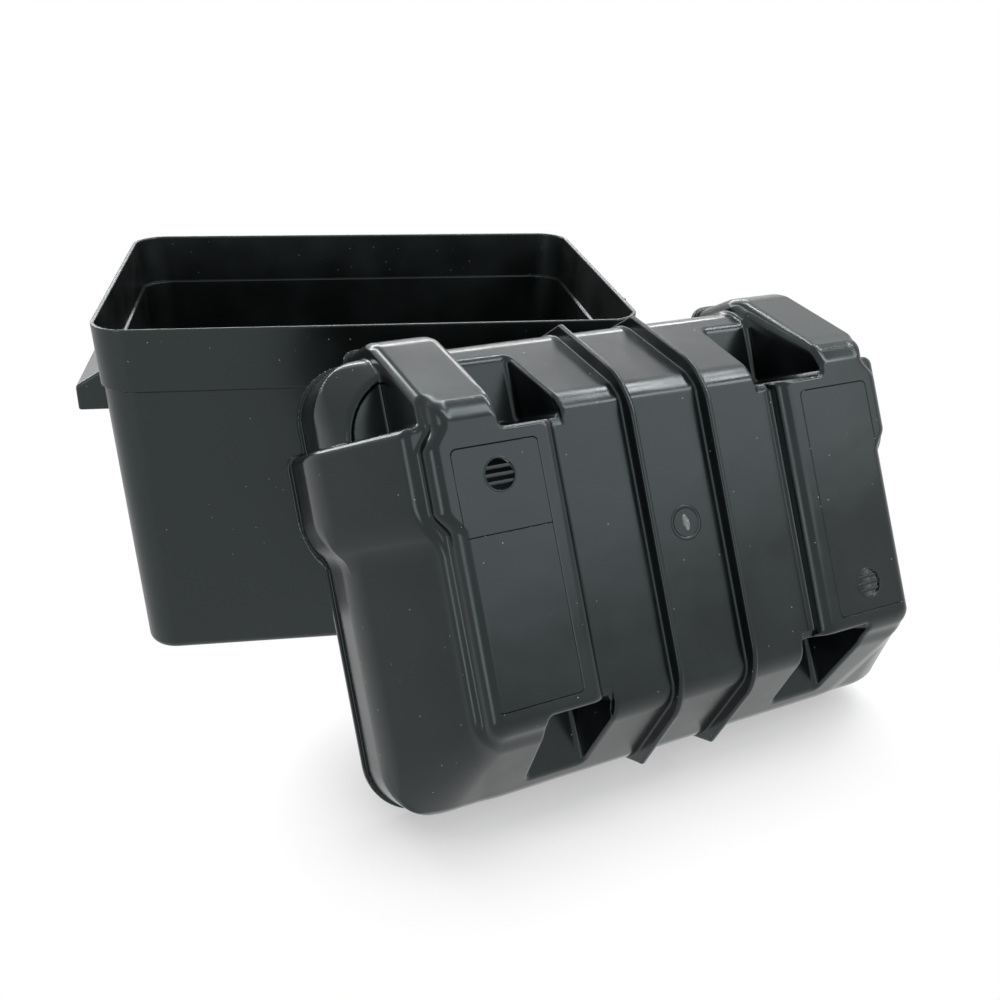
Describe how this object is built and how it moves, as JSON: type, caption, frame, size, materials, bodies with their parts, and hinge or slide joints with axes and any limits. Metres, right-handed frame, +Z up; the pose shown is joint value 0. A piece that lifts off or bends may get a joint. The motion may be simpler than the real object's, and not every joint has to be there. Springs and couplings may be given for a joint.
{
  "type": "battery storage case",
  "caption": "Deep tapered rectangular case for a battery, with carrying ledges at its ends and a lifted-off lid with raised end plates, humps, ribs and round vents.",
  "frame": {"origin": "middle of the box's underside, on the floor", "axes": "+Z up; +X to the right-hand end of the box; -Y to the front, where the lid stands"},
  "size_m": [0.4822, 0.4466, 0.2351],
  "materials": {
    "box": "satin black moulded polypropylene",
    "lid": "semi-gloss black moulded polypropylene"
  },
  "bodies": {
    "box": {"box": "box"},
    "lid": {"lid": "lid"}
  },
  "joints": [
    {"name": "lid_lift", "type": "slide", "parent": "box", "child": "lid", "axis": [0, 0, 1], "range_m": [0, 0.3]}
  ]
}
